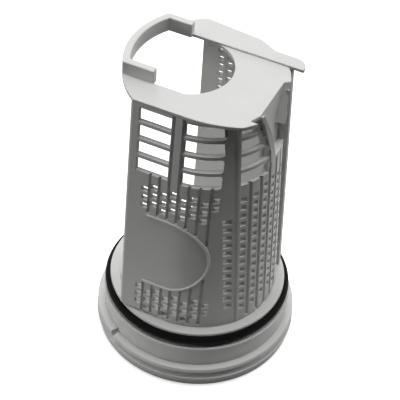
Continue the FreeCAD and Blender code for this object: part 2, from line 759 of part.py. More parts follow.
wide, tall, step = size("slot_wide"), size("slot_tall"), size("slot_pitch")
front_slots = new_sketch(basket, "XZ_Plane", "front_slot_outline")
add_chain(front_slots, slot_field(
    front_first, front_pitch, front_columns, size("front_upper_drop"),
    short_last(size("front_upper_rows"), front_columns), even_lag, step, wide, tall))
add_chain(front_slots, slot_field(
    front_first, front_pitch, front_columns, size("front_lower_drop"),
    short_last(size("front_lower_rows"), front_columns), odd_lag, step, wide, tall))
cut(basket, front_slots, "front_slots", backwards=True)
side_slots = new_sketch(basket, "YZ_Plane", "side_slot_outline")
add_chain(side_slots, slot_field(
    side_first, side_pitch, side_columns, size("side_drop"),
    all_rows(size("side_rows")), pair_lag, step, size("side_slot_wide"), tall))
add_chain(side_slots, slot_field(
    size("corner_column"), side_pitch, 1, size("corner_drop"),
    all_rows(size("corner_rows")), odd_lag, step, wide, tall))
cut(basket, side_slots, "side_slots", backwards=True)
back_slots = new_sketch(basket, "XZ_Plane", "back_slot_outline")
add_chain(back_slots, slot_field(
    size("back_first"), size("back_pitch"), size("back_columns"), size("back_drop"),
    all_rows(size("back_rows")), odd_lag, size("back_slot_pitch"),
    size("back_slot_wide"), size("back_slot_tall")))
cut(basket, back_slots, "back_slots")
document.recompute()

for item in document.Objects:
    bad = [word for word in item.State if word in ("Invalid", "Error")]
    if bad:
        raise RuntimeError("%s: %s" % (item.Label, bad))
    if item.isDerivedFrom("PartDesign::Feature") and item.Shape.isNull():
        raise RuntimeError("%s has no shape" % item.Label)

os.makedirs("parts", exist_ok=True)
for node in (cap, seal, basket):
    if not node.Shape.isValid() or len(node.Shape.Solids) != 1:
        raise RuntimeError("%s is not one sound solid" % node.Label)
    node.Shape.exportStep("parts/%s.step" % node.Label)
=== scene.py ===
import logging
import math
from dataclasses import dataclass, field
from enum import Enum

import bmesh
import bpy
import numpy as np
from mathutils import Matrix, Vector


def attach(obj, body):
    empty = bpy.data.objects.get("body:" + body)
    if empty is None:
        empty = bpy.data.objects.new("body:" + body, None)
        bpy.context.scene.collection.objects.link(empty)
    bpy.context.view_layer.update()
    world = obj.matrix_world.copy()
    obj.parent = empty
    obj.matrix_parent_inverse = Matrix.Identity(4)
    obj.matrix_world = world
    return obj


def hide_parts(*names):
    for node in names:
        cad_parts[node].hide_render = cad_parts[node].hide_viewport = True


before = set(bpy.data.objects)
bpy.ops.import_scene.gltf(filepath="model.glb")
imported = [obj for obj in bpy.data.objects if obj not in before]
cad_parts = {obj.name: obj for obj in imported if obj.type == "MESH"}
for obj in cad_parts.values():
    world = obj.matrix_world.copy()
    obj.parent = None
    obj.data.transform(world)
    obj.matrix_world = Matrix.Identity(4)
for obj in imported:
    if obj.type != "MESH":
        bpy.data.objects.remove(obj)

log = logging.getLogger("washer_pump_filter")
MM = 0.001
# Points of a piece that lie closer than this, in metres, become one.
MERGE_DISTANCE = 1e-7
# Edges that turn by more than this, in degrees, get rounded.
CRISP_ANGLE = 38.0
# Slack for comparing heights, in mm.
TINY = 1e-6
# Most of a noise texture's values lie between these two.
NOISE_SPAN = (0.3, 0.7)


def show(name: str, data: bpy.types.ID) -> bpy.types.Object:
    """Makes an object of a mesh, camera or light, puts it in the scene and returns it."""
    item = bpy.data.objects.new(name, data)
    bpy.context.scene.collection.objects.link(item)
    return item


def linear(code: str) -> tuple[float, float, float, float]:
    """Linear colour of an sRGB hex code.

    Args:
        code: six hex digits.

    Returns:
        Red, green, blue and alpha in linear light.
    """
    parts = [int(code[place:place + 2], 16) / 255 for place in (0, 2, 4)]
    light = [part / 12.92 if part <= 0.04045 else ((part + 0.055) / 1.055) ** 2.4 for part in parts]
    return (*light, 1.0)


class Slot(Enum):
    """Material slots that the part's record names."""

    PLASTIC = "moulded_polypropylene"
    RUBBER = "nitrile_rubber"


class Body(Enum):
    """Bodies that move as one."""

    CAP = "cap"
    BASKET = "basket"


class Rail(Enum):
    """How an upright grid line of the wall keeps its place while the wall leans."""

    FRONT = "constant x"
    SIDE = "constant y"
    BLEND = "constant share of the corner between front and side"


# Rail kind, two sides, lower and upper height of an opening; a groove has middle and half width instead.
Box = tuple[Rail, float, float, float, float]


def blank_tree(owner: bpy.types.Material | bpy.types.World) -> bpy.types.NodeTree:
    """Empties the node tree of a new material or world and returns it."""
    owner.use_nodes = True
    owner.node_tree.nodes.clear()
    return owner.node_tree


def add_node(tree: bpy.types.NodeTree, kind: str, **values: object) -> bpy.types.Node:
    """Adds a shader node and sets its attributes and plain inputs.

    Args:
        tree: node tree that gets the node.
        kind: node type.
        values: attributes by name, or inputs by name with spaces as underscores.

    Returns:
        The new node.
    """
    node = tree.nodes.new(kind)
    for name, value in values.items():
        if hasattr(node, name):
            setattr(node, name, value)
        else:
            node.inputs[name.replace("_", " ")].default_value = value
    return node


def ramp(tree: bpy.types.NodeTree, span: tuple[float, float], ends: tuple[float, float]) -> bpy.types.Node:
    """Adds a node that turns the values of a span into those between two ends, and holds the ends."""
    return add_node(tree, "ShaderNodeMapRange", From_Min=span[0], From_Max=span[1],
                    To_Min=ends[0], To_Max=ends[1])


def wire(tree: bpy.types.NodeTree, *rows: tuple) -> None:
    """Links nodes, by rows of source, its output's name, target, and its input's name or number."""
    for source, output, target, entry in rows:
        tree.links.new(source.outputs[output], target.inputs[entry])


def background_rays(tree: bpy.types.NodeTree) -> bpy.types.Node:
    """Tells the rays that may see the white background from those that carry light.

    Args:
        tree: node tree of the world or of the ground's material.

    Returns:
        Node whose value is 1 for camera, glossy and transmission rays, and 0 for the others.
    """
    path = add_node(tree, "ShaderNodeLightPath")
    near = add_node(tree, "ShaderNodeMath", operation="MAXIMUM")
    every = add_node(tree, "ShaderNodeMath", operation="MAXIMUM")
    wire(tree, (path, "Is Camera Ray", near, 0), (path, "Is Glossy Ray", near, 1),
         (near, "Value", every, 0), (path, "Is Transmission Ray", every, 1))
    return every


@dataclass(frozen=True)
class MouldedFinish:
    """Surface of an injection moulding, sizes in mm."""

    name: str
    colour: str
    shade: str
    roughness: float
    roughness_swing: float
    grain: float
    grain_depth: float
    waviness: float
    wave_depth: float
    edge: float
    specular: float

    def build(self) -> bpy.types.Material:
        """Builds the material: tinted by slow clouds, with fine grain, shrink waves and soft edges.

        Returns:
            The finished material.
        """
        material = bpy.data.materials.new(self.name)
        tree = blank_tree(material)
        output = add_node(tree, "ShaderNodeOutputMaterial")
        surface = add_node(tree, "ShaderNodeBsdfPrincipled", Specular_IOR_Level=self.specular)
        place = add_node(tree, "ShaderNodeTexCoord")
        clouds = add_node(tree, "ShaderNodeTexNoise", Scale=1 / (self.waviness * MM),
                          Detail=3.0, Roughness=0.5)
        grain = add_node(tree, "ShaderNodeTexNoise", Scale=1 / (self.grain * MM),
                         Detail=2.0, Roughness=0.6)
        tint = add_node(tree, "ShaderNodeMix", data_type="RGBA",
                        A=linear(self.shade), B=linear(self.colour))
        spread = ramp(tree, NOISE_SPAN, (self.roughness - self.roughness_swing,
                                         self.roughness + self.roughness_swing))
        soft = add_node(tree, "ShaderNodeBevel", samples=4, Radius=self.edge * MM)
        wave = add_node(tree, "ShaderNodeBump", Distance=self.wave_depth * MM, Strength=1.0)
        fine = add_node(tree, "ShaderNodeBump", Distance=self.grain_depth * MM, Strength=1.0)
        wire(tree,
             (place, "Object", clouds, "Vector"), (place, "Object", grain, "Vector"),
             (clouds, "Fac", tint, "Factor"), (tint, "Result", surface, "Base Color"),
             (grain, "Fac", spread, "Value"), (spread, "Result", surface, "Roughness"),
             (soft, "Normal", wave, "Normal"), (clouds, "Fac", wave, "Height"),
             (wave, "Normal", fine, "Normal"), (grain, "Fac", fine, "Height"),
             (fine, "Normal", surface, "Normal"), (surface, "BSDF", output, "Surface"))
        return material


# Satin off-white polypropylene, as moulded.
POLYPROPYLENE = MouldedFinish(
    name="moulded_polypropylene", colour="D2D2D0", shade="CCCCCA", roughness=0.42, roughness_swing=0.05,
    grain=0.35, grain_depth=0.004, waviness=9.0, wave_depth=0.03, edge=0.18, specular=0.03)
# Black nitrile rubber with a dull moulded skin.
NITRILE = MouldedFinish(
    name="nitrile_rubber", colour="040404", shade="020202", roughness=0.72, roughness_swing=0.06,
    grain=0.25, grain_depth=0.01, waviness=5.0, wave_depth=0.02, edge=0.05, specular=0.06)


@dataclass
class Shell:
    """Closed surfaces in mm, gathered before they become one mesh."""

    points: list[np.ndarray] = field(default_factory=list)
    faces: list[list[int]] = field(default_factory=list)
    count: int = 0

    def add(self, points: np.ndarray, faces: list) -> None:
        """Adds one closed surface.

        Args:
            points: (n, 3) array of places in mm.
            faces: lists or arrays of vertex numbers, counted within points.
        """
        for group in faces:
            block = np.asarray(group)
            if block.ndim == 1:
                self.faces.append((block + self.count).tolist())
            elif block.size:
                self.faces.extend((block + self.count).tolist())
        self.points.append(points.reshape(-1, 3))
        self.count += self.points[-1].shape[0]

    def build(self, name: str, material: bpy.types.Material, sharp: float = 32.0) -> bpy.types.Object:
        """Turns the gathered surfaces into one object with outward faces.

        Args:
            name: name of the object.
            material: finish of all faces.
            sharp: angle in degrees above which an edge stays crisp.

        Returns:
            The new object, linked to the scene.
        """
        mesh = bpy.data.meshes.new(name)
        mesh.from_pydata((np.concatenate(self.points) * MM).tolist(), [], self.faces)
        work = bmesh.new()
        work.from_mesh(mesh)
        bmesh.ops.remove_doubles(work, verts=work.verts, dist=MERGE_DISTANCE)
        bmesh.ops.delete(work, geom=[v for v in work.verts if not v.link_faces], context="VERTS")
        bmesh.ops.recalc_face_normals(work, faces=work.faces)
        work.to_mesh(mesh)
        work.free()
        mesh.shade_smooth()
        mesh.set_sharp_from_angle(angle=math.radians(sharp))
        mesh.materials.append(material)
        return show(name, mesh)


def round_edges(piece: bpy.types.Object, width: float, steps: int = 2) -> None:
    """Rounds the crisp edges of a piece.

    Args:
        piece: object that gets the rounding.
        width: width of the rounding in mm.
        steps: facets across the rounding.
    """
    modifier = piece.modifiers.new("moulded_edges", "BEVEL")
    modifier.width = width * MM
    modifier.segments = steps
    modifier.limit_method = "ANGLE"
    modifier.angle_limit = math.radians(CRISP_ANGLE)
    modifier.harden_normals = True
    modifier.use_clamp_overlap = True


def grid_faces(rows: int, columns: int, loop_rows: bool = False, loop_columns: bool = False) -> np.ndarray:
    """Quads between neighbouring points of a grid.

    Args:
        rows: number of rows of points.
        columns: number of points in a row.
        loop_rows: joins the last row to the first.
        loop_columns: joins the last column to the first.

    Returns:
        (n, 4) array of point numbers.
    """
    row = np.arange(rows if loop_rows else rows - 1)[:, None]
    column = np.arange(columns if loop_columns else columns - 1)[None, :]
    next_row, next_column = (row + 1) % rows, (column + 1) % columns
    quads = [row * columns + column, row * columns + next_column,
             next_row * columns + next_column, next_row * columns + column]
    return np.stack([np.broadcast_to(part, quads[2].shape) for part in quads], axis=-1).reshape(-1, 4)


def turned(radius: np.ndarray | float, height: np.ndarray | float, angle: np.ndarray) -> np.ndarray:
    """Places at a radius and a height, turned about Z by an angle in radians."""
    return np.stack([radius * np.cos(angle), radius * np.sin(angle), height + 0 * angle], axis=-1)


def lathe(profile: np.ndarray, steps: int) -> tuple[np.ndarray, list]:
    """Turns a closed profile about Z.

    Args:
        profile: (n, 2) closed outline of radius and height.
        steps: number of places round the turn.

    Returns:
        Points and faces.
    """
    angle = np.linspace(0, 2 * math.pi, steps, endpoint=False)[:, None]
    points = turned(profile[None, :, 0], profile[None, :, 1], angle)
    return points, [grid_faces(steps, len(profile), True, True)]


def sweep(sections: np.ndarray) -> tuple[np.ndarray, list]:
    """Skins a row of closed sections and closes both ends.

    Args:
        sections: (stations, section points, 3) array.

    Returns:
        Points and faces.
    """
    stations, ring = sections.shape[:2]
    last = (stations - 1) * ring
    return sections, [grid_faces(stations, ring, False, True), np.arange(ring)[::-1], last + np.arange(ring)]


def at_height(outline: np.ndarray, height: float) -> np.ndarray:
    """Lays an (n, 2) outline of x and y at a height."""
    return np.column_stack([outline, np.full(len(outline), height)])


def at_x(outline: np.ndarray, x: np.ndarray | float) -> np.ndarray:
    """Stands an (n, 2) outline of y and z at one x, or each of its points at an x of its own."""
    return np.column_stack([np.zeros(len(outline)) + x, outline])


def prism(outline: np.ndarray, low: float, high: float) -> tuple[np.ndarray, list]:
    """Points and faces of an upright prism over a closed (n, 2) outline, between two heights."""
    return sweep(np.stack([at_height(outline, low), at_height(outline, high)]))


def lattice(outer: np.ndarray, inner: np.ndarray, solid: np.ndarray) -> tuple[np.ndarray, list]:
    """Closed wall between two point grids whose open cells become holes with side walls.

    Args:
        outer: (levels, rails, 3) points of the outer face.
        inner: points of the inner face, same shape.
        solid: (levels - 1, rails - 1) mask, False where the wall is open.

    Returns:
        Points and faces.
    """
    levels, rails = outer.shape[:2]
    number = np.arange(levels * rails).reshape(levels, rails)
    back = levels * rails
    cell = np.stack([number[:-1, :-1], number[:-1, 1:], number[1:, 1:], number[1:, :-1]], axis=-1)
    known = np.pad(solid, 1)
    upright = known[1:-1, :-1] != known[1:-1, 1:]
    level = known[:-1, 1:-1] != known[1:, 1:-1]
    up = np.stack([number[:-1], number[1:], number[1:] + back, number[:-1] + back], axis=-1)
    flat = np.stack([number[:, :-1], number[:, 1:], number[:, 1:] + back, number[:, :-1] + back], axis=-1)
    faces = [cell[solid], cell[solid][:, ::-1] + back, up[upright], flat[level]]
    return np.concatenate([outer.reshape(-1, 3), inner.reshape(-1, 3)]), faces


def arc_points(radius: float, start: float, end: float, steps: int,
               centre: tuple = (0.0, 0.0)) -> np.ndarray:
    """Points of a circle from a first to a last azimuth in degrees, as a (steps, 2) array."""
    angle = np.radians(np.linspace(start, end, steps))
    return np.column_stack([centre[0] + radius * np.cos(angle), centre[1] + radius * np.sin(angle)])


def azimuth(x: float, y: float) -> float:
    """Azimuth of a place in degrees."""
    return math.degrees(math.atan2(y, x))


def right_azimuth(radius: float, y: float) -> float:
    """Azimuth in degrees of the place at a y on the right half of a circle about the axis."""
    return azimuth(math.sqrt(radius ** 2 - y ** 2), y)


def left_azimuth(radius: float, y: float) -> float:
    """Azimuth in degrees of the place at a y on the left half of a circle about the axis."""
    return azimuth(-math.sqrt(radius ** 2 - y ** 2), y)


def curve_through(points: np.ndarray, steps: int) -> np.ndarray:
    """Smooth curve through three points of a plane, as a circle arc.

    Args:
        points: (3, 2) array.
        steps: number of points on the curve.

    Returns:
        (steps, 2) array.
    """
    (ax, ay), (bx, by), (cx, cy) = points
    lead = 2 * (ax * (by - cy) + bx * (cy - ay) + cx * (ay - by))
    square = [px * px + py * py for px, py in points]
    centre = ((square[0] * (by - cy) + square[1] * (cy - ay) + square[2] * (ay - by)) / lead,
              (square[0] * (cx - bx) + square[1] * (ax - cx) + square[2] * (bx - ax)) / lead)
    start, middle, end = (azimuth(px - centre[0], py - centre[1]) for px, py in points)
    turn = (middle - start + 180) % 360 - 180 + (end - middle + 180) % 360 - 180
    return arc_points(math.hypot(ax - centre[0], ay - centre[1]), start, start + turn, steps, centre)


def unit(vectors: np.ndarray) -> np.ndarray:
    """Brings the rows of an (n, 3) array to length 1."""
    return vectors / np.linalg.norm(vectors, axis=1)[:, None]


def shifted(line: tuple, radius: float, height: float) -> list[tuple[float, float]]:
    """Moves the points of a short outline, given from a corner, to that corner's place."""
    return [(radius + out, height + up) for out, up in line]


@dataclass
class ScrewCap:
    """Screw cap with rim, two climbing cams, band, disc, dished grip side and snap spigot.

    The lines are short outlines, given from the corner that they soften: distance out and up in mm.
    """

    rim_radius: float = 32.0
    rim_height: float = 4.9
    rim_foot_radius: float = 31.3
    foot_line: tuple = ((-0.6, 0.0), (-0.2, 0.2), (0.0, 0.6))
    ridge_height: float = 3.65
    ridge_line: tuple = ((-0.65, -1.2), (-0.15, -0.25), (0.0, 0.0), (-0.08, 0.12), (-0.5, 0.25))
    shoulder_line: tuple = ((-1.0, -0.1), (-1.15, 0.0))
    band_radius: float = 29.5
    band_top: float = 15.4
    lip_radius: float = 29.9
    lip_height: float = 0.8
    lip_slope: float = 0.3
    soft_line: tuple = ((0.0, -0.25), (-0.08, -0.08), (-0.25, 0.0))
    cam_root: float = 29.0
    cam_radius: float = 31.8
    cam_chamfer: float = 0.15
    cam_base: float = 5.8
    cam_thick: float = 1.6
    cam_rise: float = 1.0
    cam_turn: float = 178.0
    cam_step: float = -120.0
    cam_stations: int = 90
    seal_bed: float = 26.0
    groove_top: float = 19.2
    disc_radius: float = 27.95
    disc_line: tuple = ((0.0, -0.35), (-0.1, -0.1), (-0.35, 0.0))
    top: float = 20.1
    recess_radius: float = 26.5
    recess_depth: float = 11.0
    dish_radius: float = 22.5
    dish_roof: float = 17.6
    dish_land: float = 1.5
    grip_half: float = 3.5
    grip_inset: float = 0.6
    grip_draft: float = 3.0
    grip_reach: float = 25.75
    grip_reach_high: float = 24.3
    grip_step: float = 12.0
    grip_root: float = 0.6
    grip_levels: int = 4
    grip_round: float = 0.5
    spigot_radius: float = 7.0
    spigot_bore: float = 4.2
    spigot_slit: float = 1.4
    spigot_root: float = 0.5
    spigot_steps: int = 14
    head_low: float = 22.8
    head_lip: float = 1.2
    head_edge: float = 0.8
    head_lead: float = 0.3
    head_tall: float = 2.4
    steps: int = 180
    shell: Shell = field(default_factory=Shell)

    def shell_profile(self) -> np.ndarray:
        """Outline of the turned shell.

        Returns:
            (n, 2) array of radius and height.
        """
        return np.array([
            (self.recess_radius, 0.0),
            *shifted(self.foot_line, self.rim_foot_radius, 0.0),
            *shifted(self.ridge_line, self.rim_radius, self.ridge_height),
            *shifted(self.shoulder_line, self.rim_radius, self.rim_height),
            (self.band_radius, self.rim_height),
            (self.band_radius, self.band_top - self.lip_height - self.lip_slope),
            (self.lip_radius, self.band_top - self.lip_height),
            *shifted(self.soft_line, self.lip_radius, self.band_top),
            (self.seal_bed, self.band_top), (self.seal_bed, self.groove_top),
            (self.disc_radius, self.groove_top),
            *shifted(self.disc_line, self.disc_radius, self.top),
            (0.0, self.top), (0.0, self.dish_roof), (self.dish_radius, self.dish_roof),
            (self.dish_radius, self.recess_depth + self.dish_land),
            (self.dish_radius, self.recess_depth), (self.recess_radius, self.recess_depth),
        ])

    def cam_sections(self, start: float) -> np.ndarray:
        """Sections of one cam: a soft-edged rectangle that climbs evenly as it turns.

        Args:
            start: azimuth of the low end in degrees.

        Returns:
            (stations, section points, 3) array.
        """
        share = np.linspace(0, 1, self.cam_stations)[:, None]
        angle = np.radians(start + self.cam_turn * share)
        rectangle = np.array([
            (self.cam_root, 0.0), (self.cam_radius - self.cam_chamfer, 0.0),
            (self.cam_radius, self.cam_chamfer),
            *shifted(self.soft_line, self.cam_radius, self.cam_thick), (self.cam_root, self.cam_thick)])
        height = self.cam_base + rectangle[None, :, 1] + self.cam_rise * share
        return turned(rectangle[None, :, 0], height, angle)

    def spigot_fingers(self) -> None:
        """Adds the four springy fingers of the spigot, each a turned sector with its lip."""
        half = math.degrees(math.asin(self.spigot_slit / 2 / self.spigot_bore))
        bore, out, lip = self.spigot_bore, self.spigot_radius, self.spigot_radius + self.head_lip
        root, low, high = self.top - self.spigot_root, self.head_low, self.head_low + self.head_tall
        ring = np.array([
            (bore, root), (out, root), (out, low), (lip, low), (lip, low + self.head_edge),
            (out - self.head_lead, high), (bore, high)])
        for quarter in range(4):
            start = 90 * quarter + half
            angle = np.radians(np.linspace(start, start + 90 - 2 * half, self.spigot_steps))[:, None]
            self.shell.add(*sweep(turned(ring[None, :, 0], ring[None, :, 1], angle)))

    def grip_sections(self) -> np.ndarray:
        """Sections of the grip bar from the grip face up to the roof, wider as they climb.

        Returns:
            (levels, 4, 3) array.
        """
        rows = []
        for height in np.linspace(self.grip_inset, self.dish_roof + self.grip_root, self.grip_levels):
            half = self.grip_half + (height - self.grip_inset) * math.tan(math.radians(self.grip_draft))
            end = self.grip_reach_high if height > self.grip_step else self.grip_reach
            rows.append([(-end, -half, height), (end, -half, height), (end, half, height),
                         (-end, half, height)])
        return np.array(rows)

    def build(self, material: bpy.types.Material) -> list[bpy.types.Object]:
        """Builds the cap's pieces.

        Args:
            material: finish of the cap.

        Returns:
            The pieces, which stand for the cap's node.
        """
        self.shell.add(*lathe(self.shell_profile(), self.steps))
        for start in (self.cam_step, self.cam_step + 180.0):
            self.shell.add(*sweep(self.cam_sections(start)))
        self.spigot_fingers()
        body = self.shell.build("screw_cap_shell", material)
        grip = Shell()
        grip.add(*sweep(self.grip_sections()))
        bar = grip.build("screw_cap_grip_bar", material)
        round_edges(bar, self.grip_round, steps=3)
        return [body, bar]


@dataclass
class SealRing:
    """Round-cord sealing ring with a faint mould line inside and outside."""

    cord_radius: float = 1.68
    ring_radius: float = 27.85
    height: float = 17.52
    flash: float = 0.04
    flash_sharpness: int = 40
    sharp: float = 60.0
    steps: int = 200
    ring: int = 36

    def build(self, material: bpy.types.Material) -> list[bpy.types.Object]:
        """Builds the ring.

        Args:
            material: rubber finish.

        Returns:
            The ring, as the only piece.
        """
        turn = np.linspace(0, 2 * math.pi, self.ring, endpoint=False)
        bulge = self.flash * np.abs(np.cos(turn)) ** self.flash_sharpness
        radius = self.cord_radius - self.flash + bulge
        profile = np.column_stack([
            self.ring_radius + radius * np.cos(turn), self.height + radius * np.sin(turn)])
        shell = Shell()
        shell.add(*lathe(profile, self.steps))
        return [shell.build("seal_ring_cord", material, self.sharp)]


@dataclass(frozen=True)
class SlotField:
    """One field of slots in columns, sizes in mm.

    The lags say by which share of a row each column hangs lower, over and over; missing is how many
    slots the last column lacks.
    """

    kind: Rail
    first: float
    pitch: float
    columns: int
    top: float
    rows: int
    wide: float
    tall: float = 1.9
    step: float = 3.14
    lags: tuple = (0.0,)
    missing: int = 0

    def boxes(self) -> list[Box]:
        """Lists the slots.

        Returns:
            Every slot of the field.
        """
        found = []
        for column in range(self.columns):
            middle = self.first + column * self.pitch
            lag = self.lags[column % len(self.lags)]
            rows = self.rows - (self.missing if column == self.columns - 1 else 0)
            for row in range(rows):
                height = self.top - (row + lag) * self.step
                found.append((self.kind, middle - self.wide / 2, middle + self.wide / 2,
                              height - self.tall / 2, height + self.tall / 2))
        return found

    def gaps(self) -> list[float]:
        """Middles between neighbouring columns."""
        return [self.first + (column + 0.5) * self.pitch for column in range(self.columns - 1)]


def spaced(values: set[float], least: float, most: float = math.inf, start: float = 0.0) -> list[float]:
    """Sorts values and evens out their steps.

    Args:
        values: the values.
        least: smallest step; a value closer than this to the one before is dropped.
        most: widest step above the start; wider ones are shared out.
        start: value below which wide steps stay.

    Returns:
        The values in order.
    """
    first, *others = sorted(values)
    kept = [first]
    for value in others:
        if value - kept[-1] > least:
            kept.append(value)
    full = [first]
    for low, high in zip(kept, kept[1:]):
        parts = max(1, math.ceil((high - low) / most)) if high > start else 1
        full += [low + (high - low) * part / parts for part in range(1, parts + 1)]
    return full


@dataclass(frozen=True)
class WallGrid:
    """Grid of the round wall: heights of its levels, value of each rail, and the rails of each kind."""

    level: np.ndarray
    values: np.ndarray
    masks: dict[Rail, np.ndarray]


@dataclass
class StrainerBasket:
    """One-piece strainer basket: drafted wall, floor, back wall, end plate, flange and hoop."""

    foot: float = 20.3
    wall_low: float = 21.1
    plate_low: float = 99.3
    plate_top: float = 100.5
    foot_radius: float = 25.0
    crown_radius: float = 21.2
    thick: float = 1.5
    front_run: float = 14.3
    edge_round: float = 1.15
    edge_steps: int = 12
    edge_chamfer: float = 0.1
    edge_lap: float = 0.3
    overlap: float = 0.05
    back_in: float = 13.2
    back_out: float = 14.7
    back_run: float = 8.9
    fin_foot: float = 22.6
    fin_top: float = 19.35
    floor_radius: float = 23.8
    floor_top: float = 22.5
    floor_steps: int = 180
    bore_radius: float = 7.08
    relief_deep: float = 0.9
    relief_start: float = -18.0
    relief_end: float = 8.0
    window_tall: float = 4.8
    window_rung: float = 1.1
    window_top: float = 98.3
    window_rows: int = 4
    window_corner: float = 0.9
    window_steps: int = 7
    bay_one: tuple = (-12.45, -2.3)
    bay_two: tuple = (1.85, 12.9)
    bay_three: tuple = (-14.4, -4.9)
    rib: tuple = (-15.3, -14.5)
    rib_proud: float = 0.4
    rib_slope: float = 0.1
    front_upper: SlotField = SlotField(
        Rail.FRONT, first=-9.2, pitch=3.05, columns=8, top=71.45, rows=3, wide=2.0,
        lags=(0.5, 0.0), missing=1)
    front_lower: SlotField = SlotField(
        Rail.FRONT, first=-9.2, pitch=3.05, columns=8, top=30.8, rows=3, wide=2.0,
        lags=(0.0, 0.5), missing=1)
    side_slots: SlotField = SlotField(
        Rail.SIDE, first=-13.35, pitch=3.75, columns=6, top=71.7, rows=15, wide=1.7,
        lags=(0.5, 0.5, 0.0, 0.0))
    corner_slots: SlotField = SlotField(
        Rail.SIDE, first=-17.1, pitch=3.75, columns=1, top=62.7, rows=12, wide=2.0)
    back_slots: SlotField = SlotField(
        Rail.FRONT, first=-3.0, pitch=2.8, columns=5, top=98.4, rows=9, wide=1.7, tall=1.5,
        step=2.75, lags=(0.0, 0.5))
    front_step: float = 0.9
    side_step: float = 1.2
    side_stop: float = 8.0
    wall_tuck: float = 0.75
    corner_shares: tuple = (0.25, 0.5, 0.75)
    corner_gap: float = 0.4
    least_rail: float = 0.005
    least_level: float = 0.02
    groove_half: float = 0.45
    side_groove_half: float = 0.6
    groove_deep: float = 0.7
    groove_slope: float = 0.12
    pad_radius: float = 13.65
    pad_x: float = -1.35
    pad_z: float = 47.03
    pad_left: float = -8.0
    pad_clear: float = 0.4
    bead_radius: float = 0.45
    bead_inset: float = 0.4
    bead_steps: int = 12
    bead_turn_steps: int = 72
    plate_radius: float = 25.7
    plate_round: float = 0.2
    round_steps: int = 48
    lip_radius: float = 24.9
    lip_x: float = 2.0
    lip_bow: float = 0.25
    lip_start: float = -45.4
    lip_tip: float = -34.5
    notch_depth: float = 2.3
    notch_radius: float = 22.4
    notch_end: float = -27.7
    key_flat: float = 19.7
    key_wall: float = 1.5
    key_low: float = -9.6
    key_high: float = 6.0
    key_land: float = 22.4
    key_throat: float = -1.6
    key_middle: float = 2.0
    key_bend: float = -5.2
    key_bend_z: float = 90.7
    key_levels: tuple = (96.0, 90.7, 87.0, 83.5)
    key_floor: float = 80.0
    key_cheek: float = 2.4
    key_cheek_shares: tuple = (0.5, 0.8)
    key_drop: float = 1.2
    key_bite: float = 0.2
    key_open_left: float = 1.2
    key_open_right: float = 1.0
    ear_radius: float = 22.6
    ear_low: float = 84.0
    ear_inset: float = 2.3
    ear_gap: float = 0.01
    ramp_near: tuple = ((8.5, 100.3), (6.0, 100.3), (1.9, 88.9), (8.5, 88.9))
    ramp_far: tuple = ((8.5, 100.3), (7.3, 100.3), (3.4, 87.9), (8.5, 87.9))
    ramp_land: float = 22.5
    mouth_radius: float = 13.3
    mouth_centre: tuple = (-7.6, 0.4)
    mouth_front: float = 12.1
    mouth_back: float = 13.1
    hoop_low: float = 99.9
    hoop_top: float = 104.7
    hoop_wall: float = 2.3
    hoop_front: float = 12.5
    hoop_back: float = 14.7
    hoop_gap: float = 12.6
    hoop_round: float = 0.3
    flange_low: float = 100.0
    flange_top: float = 101.1
    flange_radius: float = 25.1
    flange_depth: float = 22.4
    flange_waist: float = 17.7
    flange_waist_x: float = 12.3
    flange_slope: tuple = (6.4, 20.7)
    flange_reach: float = 22.8
    flange_corner: float = 4.0
    shell: Shell = field(default_factory=Shell)

    def radius(self, height: np.ndarray | float) -> np.ndarray | float:
        """Outer radius of the drafted wall at a height."""
        share = (height - self.wall_low) / (self.plate_low - self.wall_low)
        return self.foot_radius + share * (self.crown_radius - self.foot_radius)

    def key_left(self, height: float) -> float:
        """Y of the recess's slanted side at a height."""
        return float(np.interp(height, [self.key_floor, self.key_bend_z, self.plate_top],
                               [self.key_throat, self.key_bend, self.key_low]))

    def recess_low(self) -> float:
        """Height where the wall starts to be open for the recess."""
        return self.key_floor - self.key_wall / 2

    def window_levels(self) -> list[tuple[float, float]]:
        """Places the rows of windows.

        Returns:
            Lower and upper height of each row.
        """
        step = self.window_tall + self.window_rung
        tops = [self.window_top - step * row for row in range(self.window_rows)]
        return [(top - self.window_tall, top) for top in tops]

    def openings(self) -> list[Box]:
        """Lists the holes of the round wall.

        Returns:
            Every window and slot.
        """
        found = []
        for low, high in self.window_levels():
            found.append((Rail.FRONT, *self.bay_one, low, high))
            found.append((Rail.FRONT, *self.bay_two, low, high))
            found.append((Rail.SIDE, *self.bay_three, low, high))
        for slots in (self.front_upper, self.front_lower, self.side_slots, self.corner_slots):
            found += slots.boxes()
        return found

    def grooves(self) -> list[Box]:
        """Lists the upright grooves.

        Returns:
            Rail kind, middle, half width, lower and upper height of every groove.
        """
        sill = min(low for low, high in self.window_levels())
        found = []
        for middle in self.front_upper.gaps():
            swing = max(middle + self.groove_half - self.pad_x, 0.0)
            clear = math.sqrt(self.pad_radius ** 2 - swing ** 2) + self.pad_clear
            between_bays = self.bay_one[1] < middle < self.bay_two[0]
            top = self.plate_low if between_bays else sill
            found.append((Rail.FRONT, middle, self.groove_half, self.pad_z + clear, top))
            found.append((Rail.FRONT, middle, self.groove_half, self.wall_low, self.pad_z - clear))
        for middle in self.side_slots.gaps():
            found.append((Rail.SIDE, middle, self.side_groove_half, self.wall_low, sill))
        return found

